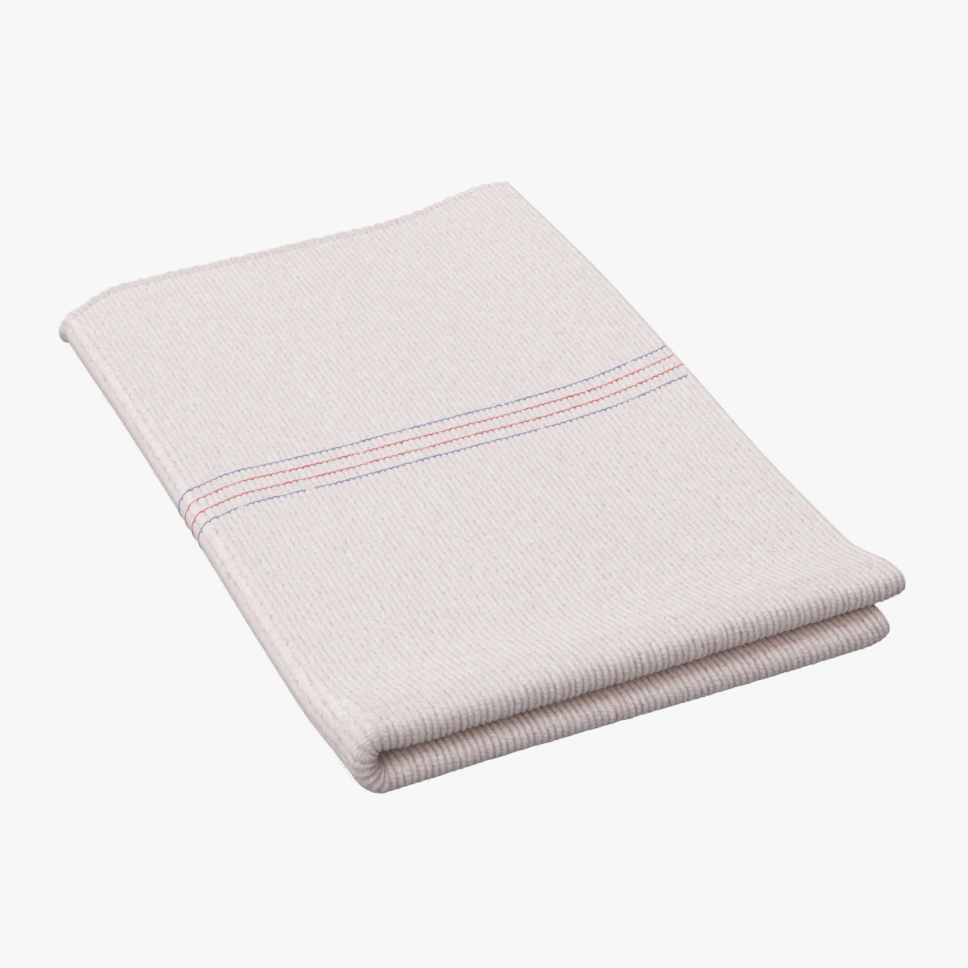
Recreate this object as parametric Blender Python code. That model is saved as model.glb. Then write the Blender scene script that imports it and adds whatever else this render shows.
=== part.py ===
"""Ribbed cotton cleaning cloth, 50 by 80 cm, folded in four: one closed solid.

Metres, +Z up. The ribs run along Y. The first fold is the thick roll along the front (-Y), the second fold is the
round left side (-X), and the four layers end at the back and on the right. The cloth lies on the plane Z = 0, and
its origin is at the middle of its footprint.
"""

from math import pi

import bmesh
import bpy
import numpy as np

# The flat cloth
CLOTH_WIDTH = 0.500  # across the ribs, from selvedge to selvedge
CLOTH_LENGTH = 0.800  # along the ribs, from hem to hem
THICKNESS = 0.0034  # one layer, over the crests of its ribs
RIBS = 164  # in the whole width
RIB_DEPTH = 0.0007
HEM_WIDTH = 0.005
HEM_SWELL = 0.0002  # how much thicker the hem is on each face
HEM_RISE = 0.002  # the length over which it thickens

# The folds
OFF_MIDDLE = 3  # half ribs by which the left fold lies off the middle, which makes the top half the wider one
LEAST_GAP = 0.0005  # between two layers
FRONT_Y = -0.2030
BOW = 0.0074  # how far the weft sags to the front in the middle of the width
BOW_FROM = 0.45  # share of the depth by which the weft has its full bow
CORNER_OPENING = 0.0026  # the upper roll lifts off the lower one by this much at the left corner
CORNER_LENGTH = 0.018
END_ROUND_LOWER = 0.0050  # how far the front rolls pull back at their open right ends
END_ROUND_UPPER = 0.0020
END_LENGTH = 0.060  # in shares of the width

# Left and right edges of the top half, from the front to the back
OUTLINE_COLUMNS = ("depth", "left", "right")
OUTLINE = np.array(
    (
        (0.000, -0.1300, 0.1328),
        (0.125, -0.1300, 0.1310),
        (0.250, -0.1290, 0.1293),
        (0.500, -0.1258, 0.1316),
        (0.750, -0.1235, 0.1335),
        (0.875, -0.1232, 0.1328),
        (1.000, -0.1226, 0.1318),
    )
)
LOWER_INSET = 0.0104  # the lower half ends this far inside the upper one on the right
INNER_INSET = 0.0035  # by which the lower inner layer lies short of the lower outer one

# Height of the upper face behind the front roll: a row for each depth, a column for each share of the width
LOFT_ACROSS = np.array((0.00, 0.25, 0.50, 0.75, 1.00))
LOFT_DEPTH = np.array((0.00, 0.25, 0.50, 0.75, 1.00))
LOFT = np.array(
    (
        (0.0152, 0.0152, 0.0152, 0.0152, 0.0152),
        (0.0168, 0.0165, 0.0172, 0.0164, 0.0178),
        (0.0172, 0.0160, 0.0165, 0.0157, 0.0190),
        (0.0171, 0.0158, 0.0155, 0.0161, 0.0195),
        (0.0155, 0.0152, 0.0152, 0.0155, 0.0180),
    )
)

# The two front rolls, from the left fold to the right: their radii, how far the upper one is set back, and how far
# the front of the lower one stands from FRONT_Y, and the length over which they thin to the flat layers
ROLL_COLUMNS = ("across", "lower", "upper", "set_back", "front", "taper")
ROLLS = np.array(
    (
        (0.00, 0.0061, 0.0060, 0.0064, 0.0030, 0.060),
        (0.10, 0.0066, 0.0067, 0.0066, 0.0032, 0.060),
        (0.25, 0.0065, 0.0068, 0.0070, 0.0034, 0.060),
        (0.50, 0.0065, 0.0069, 0.0078, 0.0022, 0.058),
        (0.75, 0.0068, 0.0069, 0.0092, 0.0008, 0.052),
        (1.00, 0.0073, 0.0056, 0.0100, 0.0000, 0.046),
    )
)

# The hems at the back: how far each part of them lies short of a straight line
HEM_COLUMNS = ("across", "pulled_in")
HEM_LINE = np.array(
    (
        (0.00, 0.0250),
        (0.05, 0.0155),
        (0.10, 0.0070),
        (0.20, 0.0030),
        (0.35, 0.0024),
        (0.60, 0.0026),
        (0.70, 0.0034),
        (0.80, 0.0006),
        (0.88, -0.0034),
        (0.94, -0.0044),
        (1.00, 0.0008),
    )
)
HEM_FROM = 0.75  # share of the depth from which the cloth is pulled in
HEM_BULGE = 0.0024  # of the stiff hem round the left fold
BULGE_REACH = 0.012

# Where the mesh has its rows and columns
ROLL_ANGLES = np.radians((-90, -60, -30, 0, 30, 60, 90))
UNDERSIDE = np.radians(75)  # past this angle the lower roll lies on the surface and has no ribs
RUN_UP = (0.015, 0.030, 0.045, 0.062, 0.110, 0.180, 0.250, 0.310, 0.350, 0.375)
FOLD_COLUMNS = (1, 2, 3, 4, 5, 6, 7, 9)
PLAIN_STEP = 24  # half ribs between the columns of a face with no ribs

HALF_RIB = CLOTH_WIDTH / RIBS / 2
TOP_COLUMNS = RIBS + OFF_MIDDLE
BOTTOM_COLUMNS = RIBS - OFF_MIDDLE
HALF_LENGTH = CLOTH_LENGTH / 2
MEAN_ROLL = 0.0068 - THICKNESS / 2
RUN_LENGTH = HALF_LENGTH - MEAN_ROLL * pi / 2  # one layer, behind the roll


def curve_through(stations, values, at):
    """The smooth curve through a table's values, which stays level past its ends."""
    stations = np.asarray(stations)
    values = np.asarray(values)
    slopes = np.gradient(values, stations)
    at = min(max(at, stations[0]), stations[-1])
    i = min(int(np.searchsorted(stations, at, side="right")) - 1, len(stations) - 2)
    span = stations[i + 1] - stations[i]
    f = (at - stations[i]) / span
    return (
        values[i] * (1 + 2 * f) * (1 - f) ** 2
        + slopes[i] * span * f * (1 - f) ** 2
        + values[i + 1] * f * f * (3 - 2 * f)
        - slopes[i + 1] * span * f * f * (1 - f)
    )


def ease(share):
    """0 to 1 with level ends."""
    share = min(max(share, 0.0), 1.0)
    return share * share * (3 - 2 * share)


def outline(name, depth):
    return curve_through(OUTLINE[:, 0], OUTLINE[:, OUTLINE_COLUMNS.index(name)], depth)


def roll(name, across):
    return curve_through(ROLLS[:, 0], ROLLS[:, ROLL_COLUMNS.index(name)], across)


def layer_gap(across, depth):
    """The space between two layers that brings the upper face to its height."""
    rows = [curve_through(LOFT_ACROSS, row, across) for row in LOFT]
    height = curve_through(LOFT_DEPTH, rows, depth)
    swell = 2 * hem_swell(depth)
    return max(LEAST_GAP, (height - 4 * (THICKNESS + swell)) / 3) + swell


def hem_swell(depth):
    """How much thicker each face is in the hem."""
    return HEM_SWELL * ease(((depth - 1) * RUN_LENGTH + HEM_WIDTH) / HEM_RISE)


def mean_spread(radius, run, gap, taper):
    """How far a layer's middle lies from the middle of its pair, at a distance behind the roll."""
    flat = (THICKNESS + gap) / 2
    bulge = (1 + np.cos(pi * min(max(run, 0.0) / taper, 1.0))) / 2
    return flat + (radius - THICKNESS / 2 - flat) * bulge


def cloth_point(column, angle, run, lift):
    """A point of the folded cloth.

    column counts half ribs from the left fold, positive on the upper half. angle goes round the front roll, from
    -90 degrees on the inner layer to +90 degrees on the outer one. run is the distance behind the roll. lift is the
    height over the layer's middle, towards the outside of the roll.
    """
    along = column * HALF_RIB
    across = abs(column) / (TOP_COLUMNS if column > 0 else BOTTOM_COLUMNS)
    depth = run / RUN_LENGTH
    gap = layer_gap(across, depth)
    # The left fold turns by `turn`, from -90 degrees on the lower half to +90 degrees on the upper one.
    taper = roll("taper", across)
    behind_roll = 1 - ease(run / taper)
    opening = CORNER_OPENING * np.exp(-((along / CORNER_LENGTH) ** 2)) * behind_roll
    fold_spread = mean_spread(roll("lower", 0), run, layer_gap(0, depth), roll("taper", 0))
    fold_half = fold_spread + (THICKNESS + layer_gap(0, depth)) / 2 + opening
    quarter = fold_half * pi / 2
    turn = max(-1.0, min(1.0, along / quarter)) * pi / 2
    up = (np.sin(turn) + 1) / 2
    # The front roll and the layer behind it, as the distance from the front and from the middle of the pair
    radius = roll("lower", across) * (1 - up) + roll("upper", across) * up
    mean = radius - THICKNESS / 2
    spread = mean_spread(radius, run, gap, taper)
    side = 1 if angle > 0 else -1
    if run > 0:
        step = 0.0005
        slope = (mean_spread(radius, run + step, gap, taper) - spread) / step
        tilt = np.hypot(slope, 1)
        back = mean + run - lift * slope / tilt
        out = side * (spread + lift / tilt)
    else:
        back = mean - (mean + lift) * np.cos(angle)
        out = (mean + lift) * np.sin(angle)
    half = spread + (THICKNESS + gap) / 2 + opening
    centre = 2 * mean_spread(roll("lower", across), run, gap, taper) + THICKNESS + gap / 2 + opening
    # Across: round the left fold, then to the right edge
    left = outline("left", depth) + fold_half + fold_spread + THICKNESS / 2
    if along > quarter:
        span = outline("right", depth) - left
        x = left + span * (along - quarter) / (TOP_COLUMNS * HALF_RIB - quarter)
    elif along < -quarter:
        inset = LOWER_INSET + INNER_INSET * ((1 - np.sin(angle)) / 2) ** 2
        span = outline("right", depth) - inset - left
        x = left + span * (-along - quarter) / (BOTTOM_COLUMNS * HALF_RIB - quarter)
    else:
        x = left - (half + out) * np.cos(turn)
    x -= HEM_BULGE * hem_swell(depth) / HEM_SWELL * np.exp(-((along / BULGE_REACH) ** 2))
    z = centre + (half + out) * np.sin(turn)
    # Along: the two rolls' fronts, their rounded ends, the bow of the weft and the line of the hems
    end = max(0.0, (across - 1 + END_LENGTH) / END_LENGTH) ** 2
    front = FRONT_Y + roll("front", across) + roll("set_back", across) * (up + (1 - up) * ease(depth))
    from_middle = 2 * across - 1
    bow = BOW * (1 - abs(from_middle) ** 3) * ease(depth / BOW_FROM)
    rounded = (END_ROUND_LOWER * (1 - up) + END_ROUND_UPPER * up) * end * behind_roll
    pulled_in = curve_through(HEM_LINE[:, 0], HEM_LINE[:, 1], across) * ease((depth - HEM_FROM) / (1 - HEM_FROM))
    y = front + back + rounded - bow - pulled_in
    return x, y, max(z, 0.0)


def plain_columns():
    """The columns of a face with no ribs: close together round the left fold, then far apart."""
    upper = [*FOLD_COLUMNS, *range(PLAIN_STEP, TOP_COLUMNS - PLAIN_STEP // 2, PLAIN_STEP), TOP_COLUMNS]
    lower = [*FOLD_COLUMNS, *range(PLAIN_STEP, BOTTOM_COLUMNS - PLAIN_STEP // 2, PLAIN_STEP), BOTTOM_COLUMNS]
    return [-column for column in reversed(lower)] + [0] + upper


def mesh_rows():
    """(angle, run) of each row, from the inner layer's hem round the roll to the outer layer's hem."""
    behind = [*RUN_UP, RUN_LENGTH - HEM_WIDTH, RUN_LENGTH - HEM_WIDTH + HEM_RISE, RUN_LENGTH]
    inner = [(-pi / 2, run) for run in reversed(behind)]
    outer = [(pi / 2, run) for run in behind]
    return inner + [(angle, 0.0) for angle in ROLL_ANGLES] + outer


def outer_columns(angle, run, plain):
    """The columns of the outer face in one row: every half rib where the ribs show, and the plain ones elsewhere."""
    if run > 0 and angle < 0:
        return plain
    ribbed_from = -FOLD_COLUMNS[-1] if angle > UNDERSIDE else -BOTTOM_COLUMNS
    return [column for column in plain if column < ribbed_from] + list(range(ribbed_from, TOP_COLUMNS + 1))


def face_lift(face, column, angle, run):
    """Height of the outer face (+1) or the inner face (-1) over the layer's middle."""
    half = THICKNESS / 2 + hem_swell(run / RUN_LENGTH)
    on_floor = column < -FOLD_COLUMNS[-1] and angle > UNDERSIDE
    between_layers = run > 0 and angle < 0
    if face < 0 or on_floor or between_layers:
        return face * half
    groove = RIB_DEPTH if column % 2 == 0 else 0.0
    return half - groove


def fill_fan(mesh, ribbed, plain):
    """Faces between a run of ribbed vertices and the two plain vertices that face its ends.

    Each crest gets a triangle down to the grooves beside it, and the grooves are joined to the nearer plain vertex.
    """
    grooves = [ribbed[0]]
    for place, vertex in ribbed[1:-1]:
        if place % 2 == 0:
            grooves.append((place, vertex))
    grooves.append(ribbed[-1])
    corners = dict(ribbed)
    for (start, first), (end, second) in zip(grooves, grooves[1:]):
        if end - start == 2:
            mesh.faces.new((first, corners[start + 1], second))
    middle = len(grooves) // 2
    for i, ((_, first), (_, second)) in enumerate(zip(grooves, grooves[1:])):
        mesh.faces.new((first, second, plain[0 if i < middle else 1]))
    mesh.faces.new((grooves[middle][1], plain[1], plain[0]))


def bridge(mesh, first, second):
    """Faces between two rows of vertices, given as (place, vertex), which share some of their places."""
    shared = sorted({place for place, _ in first} & {place for place, _ in second})
    for start, end in zip(shared, shared[1:]):
        near = [pair for pair in first if start <= pair[0] <= end]
        far = [pair for pair in second if start <= pair[0] <= end]
        if len(near) == len(far):
            mesh.faces.new([vertex for _, vertex in near + far[::-1]])
        else:
            ribbed, plain = (near, far) if len(near) > len(far) else (far, near)
            fill_fan(mesh, ribbed, [vertex for _, vertex in plain])


def cloth_mesh():
    mesh = bmesh.new()
    plain = plain_columns()
    rows = mesh_rows()
    faces = {}
    for face in (1, -1):
        faces[face] = []
        for angle, run in rows:
            columns = outer_columns(angle, run, plain) if face > 0 else plain
            row = []
            for column in columns:
                lift = face_lift(face, column, angle, run)
                row.append((column, mesh.verts.new(cloth_point(column, angle, run, lift))))
            faces[face].append(row)
        for first, second in zip(faces[face], faces[face][1:]):
            bridge(mesh, first, second)
    # The hems, then the two selvedges
    for end in (0, -1):
        bridge(mesh, faces[1][end], faces[-1][end])
    for end in (0, -1):
        edges = [[(place, row[end][1]) for place, row in enumerate(faces[face])] for face in (1, -1)]
        bridge(mesh, *edges)
    bmesh.ops.triangulate(mesh, faces=mesh.faces[:])
    bmesh.ops.recalc_face_normals(mesh, faces=mesh.faces[:])
    return mesh


def stand_at_origin(mesh):
    """Moves the cloth so that the middle of its footprint is the origin."""
    points = np.array([vertex.co for vertex in mesh.verts])
    middle = (points.min(axis=0) + points.max(axis=0)) / 2
    bmesh.ops.translate(mesh, verts=mesh.verts[:], vec=(-middle[0], -middle[1], -points[:, 2].min()))


def cotton():
    material = bpy.data.materials.new("cotton")
    material.use_nodes = True
    shader = material.node_tree.nodes["Principled BSDF"]
    shader.inputs["Base Color"].default_value = (0.80, 0.755, 0.735, 1.0)
    shader.inputs["Roughness"].default_value = 0.95
    shader.inputs["Metallic"].default_value = 0.0
    return material


def main():
    for thing in list(bpy.data.objects):
        bpy.data.objects.remove(thing)
    mesh = cloth_mesh()
    stand_at_origin(mesh)
    data = bpy.data.meshes.new("cloth")
    mesh.to_mesh(data)
    mesh.free()
    data.shade_smooth()
    data.set_sharp_from_angle(angle=pi / 3)
    data.materials.append(cotton())
    cloth = bpy.data.objects.new("cloth", data)
    bpy.context.scene.collection.objects.link(cloth)


main()
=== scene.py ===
"""Ribbed cotton cleaning cloth, 50 by 80 cm, folded in four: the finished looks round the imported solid.

Metres, +Z up. The ribs run along Y. The first fold is the thick roll along the front (-Y), the second fold is
the round left side (-X), and the hems of the four layers lie at the back. Run it in Blender's text editor, or
with blender --background --python.
"""

from math import pi
from typing import NamedTuple

import bmesh
import bpy
import numpy as np
from bpy.props import FloatProperty, FloatVectorProperty, IntProperty, PointerProperty
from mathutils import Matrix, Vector, noise


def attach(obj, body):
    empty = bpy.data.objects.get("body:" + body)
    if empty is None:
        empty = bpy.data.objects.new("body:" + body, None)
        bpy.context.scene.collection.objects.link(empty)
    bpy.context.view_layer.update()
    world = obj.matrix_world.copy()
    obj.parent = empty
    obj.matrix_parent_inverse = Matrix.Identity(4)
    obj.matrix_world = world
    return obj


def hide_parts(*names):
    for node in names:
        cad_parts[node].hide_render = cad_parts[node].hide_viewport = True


bl_info = {
    "name": "Folded cleaning cloth",
    "version": (1, 0, 0),
    "blender": (4, 5, 0),
    "location": "3D View > Sidebar > Cloth",
    "description": "Lays a ribbed cleaning cloth, folded in four, with its threads, hems and nap",
    "category": "Mesh",
}

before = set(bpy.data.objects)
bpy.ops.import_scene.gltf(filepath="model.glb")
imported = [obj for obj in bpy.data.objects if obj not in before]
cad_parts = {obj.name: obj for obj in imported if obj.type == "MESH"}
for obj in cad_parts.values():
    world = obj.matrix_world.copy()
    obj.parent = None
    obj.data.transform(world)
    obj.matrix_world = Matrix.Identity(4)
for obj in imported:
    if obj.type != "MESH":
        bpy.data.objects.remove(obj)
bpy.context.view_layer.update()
BODY = "root"
NODE = "cloth"

# The folds, as in the solid
OFF_MIDDLE = 3  # half ribs from the middle to the left fold
LEAST_GAP = 0.0005
FRONT_Y = -0.2030
BOW = 0.0074
BOW_FROM = 0.45
CORNER_OPENING = 0.0026
CORNER_LENGTH = 0.018
END_ROUND_LOWER = 0.0050
END_ROUND_UPPER = 0.0020
END_LENGTH = 0.060
MEAN_RADIUS = 0.0068  # of a front roll
OUTLINE_COLUMNS = ("depth", "left", "right")
OUTLINE = np.array(
    (
        (0.000, -0.1300, 0.1328),
        (0.125, -0.1300, 0.1310),
        (0.250, -0.1290, 0.1293),
        (0.500, -0.1258, 0.1316),
        (0.750, -0.1235, 0.1335),
        (0.875, -0.1232, 0.1328),
        (1.000, -0.1226, 0.1318),
    )
)
LOWER_INSET = 0.0104
INNER_INSET = 0.0035  # how much shorter the lower inner layer is than the outer one
LOFT_ACROSS = np.array((0.00, 0.25, 0.50, 0.75, 1.00))
LOFT_DEPTH = np.array((0.00, 0.25, 0.50, 0.75, 1.00))
LOFT = np.array(
    (
        (0.0152, 0.0152, 0.0152, 0.0152, 0.0152),
        (0.0168, 0.0165, 0.0172, 0.0164, 0.0178),
        (0.0172, 0.0160, 0.0165, 0.0157, 0.0190),
        (0.0171, 0.0158, 0.0155, 0.0161, 0.0195),
        (0.0155, 0.0152, 0.0152, 0.0155, 0.0180),
    )
)
ROLL_COLUMNS = ("across", "lower", "upper", "set_back", "front", "taper")
ROLLS = np.array(
    (
        (0.00, 0.0061, 0.0060, 0.0064, 0.0030, 0.060),
        (0.10, 0.0066, 0.0067, 0.0066, 0.0032, 0.060),
        (0.25, 0.0065, 0.0068, 0.0070, 0.0034, 0.060),
        (0.50, 0.0065, 0.0069, 0.0078, 0.0022, 0.058),
        (0.75, 0.0068, 0.0069, 0.0092, 0.0008, 0.052),
        (1.00, 0.0073, 0.0056, 0.0100, 0.0000, 0.046),
    )
)
HEM_LINE = np.array(  # place across, and how far the hems lie short of a straight line there
    (
        (0.00, 0.0250),
        (0.05, 0.0155),
        (0.10, 0.0070),
        (0.20, 0.0030),
        (0.35, 0.0024),
        (0.60, 0.0026),
        (0.70, 0.0034),
        (0.80, 0.0006),
        (0.88, -0.0034),
        (0.94, -0.0044),
        (1.00, 0.0008),
    )
)
HEM_FROM = 0.75  # share of the depth where that starts
HEM_BULGE = 0.0024  # of the stiff hem round the left fold
BULGE_REACH = 0.012
FOOTPRINT_MIDDLE = (0.00179, 0.00038)  # which the solid was moved by, to its origin

# Where the finished sheet has its rows and columns, which are counted in half ribs
RIB_STEP = 0.5  # between columns where the ribs show
PLAIN_STEP = 20  # on a hidden face
FOLD_STEP = 2  # at the left fold
FOLD_REACH = 12  # on each side of it
RIBBED_END = 1.5  # from a selvedge to the even columns
PLAIN_END = 12
NEAR_SELVEDGE = (8, 4)  # columns of a hidden face past that
SELVEDGE_REACH = 1.2  # over which a selvedge is rounded
ROUND_SHARES = (0.0, 0.38, 0.71, 0.92, 1.0)  # of the way to the end of a rounded edge
ROW_STEP = 0.0028  # between rows where the ribs show
PLAIN_ROW_STEP = 0.014
NEAR_ROLL = (0.014, 0.010, 0.006, 0.003)  # rows of the inner layer behind the roll
HEM_LEAD = 0.002  # from the even rows to the hem
HEM_ROWS = (0.0012, 0.0024, 0.0038)  # past the even rows
HEM_RISE = 0.4  # share of the hem's width over which it swells
ROLL_STEPS = 16
SKIN_ROWS = 90  # under the nap behind the rolls
ROLL_NAP = np.radians((-70, 15))  # on the lower roll
NAP_REACH = 3  # half ribs below the left fold where its nap ends
UNDERSIDE = np.radians(75)  # past this angle the lower roll lies on the surface
SLOPE_STEP = 0.0005  # over which the slope of a layer is measured
SAME_PLACE = 1e-6

# The ribs
RIB_ROUNDNESS = 0.65  # power of their profile: under 1 they are full, with narrow furrows
PRESSED = np.radians((5, 65))  # where the lower roll's get pressed flat
PRESSED_BACK = 0.6  # share of their depth lost towards the hem
HEM_PRESSED = 0.7  # and on the hem
OPEN_AT = np.radians((20, 120))  # the upper roll's are open up to the first
BENT_REACH = 0.016  # behind the rolls, where the furrows close
WORN_COLUMNS = (5, 38)  # half ribs below and above the left fold, worn smooth
WORN_FROM = np.radians(-30)
WORN_DEPTH = 0.62  # share of their depth lost there
STEADY_EDGE = 6  # half ribs from a selvedge, where they hardly sway
FINE_SWAY = (0.17, 0.22)  # half ribs: everywhere, and added on the rolls

# The coloured threads: distance behind the front roll, and colour
THREADS = ((0.2113, "blue"), (0.2028, "red"), (0.1938, "red"), (0.1853, "blue"))
THREAD_STEP = 0.25  # half ribs between its points
THREAD_ENDS = (0.5, 0.4)  # half ribs from the lower and the upper selvedge
THREAD_PULL = 0.0082  # to the front, at the left fold
PULL_REACH = 0.019
THREAD_RISE = 0.0015  # to the back, by the right edge
RISE_FROM = 0.8  # share of the way across where that starts
HOOK_SHARE = 0.85  # of a hook's size that is even
HOOK_DIP = 0.00012  # of a thread into each furrow
LOST_FROM = 0.60  # noise at which a thread sinks into the cloth
LOST_RISE = 0.05
LOST_DEPTH = 0.0008
PRESSED_IN = 0.00035  # of a thread's middle, on the underside

# The sewn hem
STITCH_REACH = 0.0050  # from the hem's end to the line of stitches
STITCH_PITCH = 0.0036
STITCH_STEP = 0.2  # half ribs between its points
STITCH_ENDS = (2.0, 1.9)  # half ribs from the lower and the upper selvedge
STITCH_RISE = 0.0001
STITCH_DIP = 0.0009
GATHERS = 0.21  # ripples of the sewn hem in each half rib
GATHER_REACH = 0.012
GATHER_RISE = 0.7  # share of that reach over which they grow
GATHER_SHARE = 0.75  # of a ripple's size that is even
GATHER_PULL = 0.0004
GATHER_HEIGHT = 0.00020
RUFFLE_FROM = 0.95  # share of the depth

# The weave's colour and its painted shade and light, in rib widths: outwards from the middle of a roll, and
# across from the left fold
BENT_RIBS = (0.6, 5.0)  # fully bent up to the first, flat from the second
FOLDED_RIBS = (-12.0, -4.0)  # inwards: flat up to the first, folded in from the second
FOLD_SHADE_RIBS = (-1.5, -2.8)  # where a roll turns into the fold, darkened with painted shade
CORNER_SHADE_RIBS = (0.2, -1.4)  # where the front left corner gets painted shade
PICKS = 1.74  # lumps of yarn along each rib width
STRETCHED_RIBS = 5.0  # beside the left fold, where the furrows get more painted shade as lines; it also sets the reach of the corner's painted shade
CORNER_SHADE_NARROW = 4.0  # how much faster the corner's painted shade fades
LOWER_COLUMNS = (-1.0, -6.0)  # where the left fold turns into the lower roll
LOWER_FOOT = (0.8, 1.7)  # where that roll turns under, from its painted light to the painted shade at its foot
LOWER_PAINTED_LIGHT = (1.10, 0.90)  # painted light on the lower roll, and painted shade on its foot, as factors of its colour
HUSK = (0.42, 0.27, 0.15)
STRAY_FIBRE = (0.30, 0.34, 0.42)

NOISE_RANGE = (0.3, 0.7)  # in which most of a noise texture's values lie
FLOOR_REACH = 6.0
FLOOR_DROP = 0.0002
FLOOR_GREY = (0.012, 0.012, 0.012)
HORIZON = (-0.26, 0.40)  # heights between which the sky's light grows
TINTED_TO = 0.6  # height up to which it is tinted


@np.vectorize
def lumps(x, y, layer):
    """Smooth noise from about -1 to 1, different for each layer number."""
    return noise.noise(Vector((x, y, 7.3 * layer)))


class Waver(NamedTuple):
    """A soft unevenness, such as the sway of the ribs."""

    size: float
    across: float  # waves in each half rib
    along: float  # waves in each metre, or from one thread to the next
    layer: int

    def at(self, column, place=0.0):
        return self.size * lumps(column * self.across, place * self.along, self.layer)


SWAY = Waver(0.24, 0.09, 38, 1)  # of the ribs, in half ribs
SWAY_FINE = Waver(1.0, 0.61, 150, 5)
FURROW_LUMPS = Waver(0.55, 0.7, 140, 2)  # as a share of their depth
YARN_LUMPS = Waver(0.00012, 0.9, 260, 3)
ROLL_LUMPS = (Waver(0.00024, 0.31, 90, 6), Waver(0.00034, 1.3, 480, 7))
SOFT_LUMPS = Waver(1.0, 0.055, 16, 4)  # of the top layer
GATHER_SIZES = Waver(0.9, 0.21, 0, 9)
GATHER_SHIFTS = Waver(3.5, 0.13, 0, 8)
RUFFLE = Waver(0.0004, 0.30, 40, 21)
THREAD_DRIFTS = (Waver(0.0004, 0.06, 1, 11), Waver(0.0003, 0.45, 1, 12))
THREAD_LEVELS = Waver(0.00006, 0.31, 1, 14)
THREAD_LOST = Waver(1.0, 0.60, 1, 15)
HOOK_SIZES = Waver(1.1, 0.5, 1, 13)
STITCH_DRIFT = Waver(0.0003, 0.13, 0, 31)


def setting(kind, **limits):
    """Makes settings of one kind, each from its name, default and description."""

    def make(name, default, description):
        return kind(name=name, default=default, description=description, **limits)

    return make


a_number = setting(FloatProperty)
a_length = setting(FloatProperty, unit="LENGTH")
a_colour = setting(FloatVectorProperty, subtype="COLOR")
a_place = setting(FloatVectorProperty, subtype="XYZ")
a_count = setting(IntProperty, min=1)
two_angles = setting(FloatVectorProperty, size=2, unit="ROTATION")


class ClothSizes(bpy.types.PropertyGroup):
    """The sheet before it is folded"""

    width: a_length("Width", 0.500, "From selvedge to selvedge, across the ribs")
    length: a_length("Length", 0.800, "From hem to hem, along the ribs")
    thickness: a_length("Thickness", 0.0034, "One layer, over the crests of its ribs")
    ribs: IntProperty(name="Ribs", description="In the whole width", default=164, min=20)
    rib_depth: a_length("Rib depth", 0.00038, "Of the furrows on the flat faces")
    roll_rib_depth: a_length("Rib depth on the rolls", 0.00112, "Of the furrows that the bend opens")
    hem_width: a_length("Hem", 0.005, "Width of the sewn hem")
    hem_swell: a_length("Hem swell", 0.0002, "How much thicker the hem is on each face")
    unevenness: a_length("Unevenness", 0.00035, "Height of the soft lumps in the top layer")
    cotton: a_colour("Cotton", (0.845, 0.764, 0.748), "Of the undyed yarn")
    bleached: a_colour("Bleached patches", (0.830, 0.804, 0.804), "Of the cooler patches in the yarn")
    # Painted shade: the colour that the furrows are darkened towards
    furrow: a_colour("Furrows", (0.40, 0.30, 0.29), "Between the ribs")
    # Painted shade: a warmer tint multiplied in on the rolls, for the colour of their shade
    roll_shade_tint: a_colour("Roll tint", (1.0, 0.955, 0.970), "Multiplies the colour on the rolls")
    # Painted shade: multiplied in where a roll turns into the fold
    fold_painted_shade: a_colour("Fold tint", (0.80, 0.715, 0.66), "Multiplies it where a roll turns into the fold")
    # Painted shade: multiplied in deep in the front left corner
    corner_painted_shade: a_colour("Corner tint", (0.50, 0.40, 0.32), "Multiplies it deep in the front left corner")


class ThreadSizes(bpy.types.PropertyGroup):
    """The coloured threads and the sewing thread"""

    width: a_length("Width", 0.00060, "Of a coloured thread")
    hook: a_length("Hook", 0.0012, "How far a thread turns to the front in each furrow")
    blue: a_colour("Blue", (0.25, 0.28, 0.55), "Blue thread")
    red: a_colour("Red", (0.80, 0.065, 0.115), "Red thread")
    stitch_width: a_length("Stitch width", 0.00045, "Of the thread round the hems")
    stitch: a_colour("Sewing thread", (0.80, 0.72, 0.66), "Thread round the hems")


class NapSizes(bpy.types.PropertyGroup):
    """The loose fibres that stand on the cotton"""

    fibres: a_count("Fibres", 8000, "How many behind the rolls")
    roll_fibres: a_count("Roll fibres", 10500, "How many on the rolls")
    length: a_length("Length", 0.0013, "Of a fibre")
    width: a_length("Width", 0.00006, "Of a fibre")
    colour: a_colour("Colour", (0.80, 0.74, 0.72), "Of the loose fibres")


class StageSizes(bpy.types.PropertyGroup):
    """Floor, light and camera"""

    floor: a_colour("Floor", (0.918, 0.918, 0.918), "Brightness of the floor")
    sky: a_number("Sky", 0.785, "Strength of the light from above")
    below: a_number("Below", 0.02, "Strength of the light from under the horizon")
    side: a_number("Side", 0.45, "Strength of the light from one side")
    side_way: a_place("Side direction", (-0.97, 0.20, -0.10), "Where that light comes from")
    low_tint: a_colour("Low tint", (1.0, 0.93, 0.93), "Colour of the light from the horizon")
    key: a_number("Key", 12.0, "Power of the large lamp, in watts")
    key_width: a_length("Key width", 1.6, "Across the large lamp")
    key_place: a_place("Key place", (-1.0, 1.2, 2.0), "Where the large lamp hangs")
    lens: a_number("Lens", 119.3, "Focal length in millimetres")
    camera: a_place("Camera", (-0.51091, -1.11228, 0.8605), "Where the camera stands")
    view: two_angles("View", (0.4456, 0.6175), "The camera's azimuth and elevation")


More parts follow.
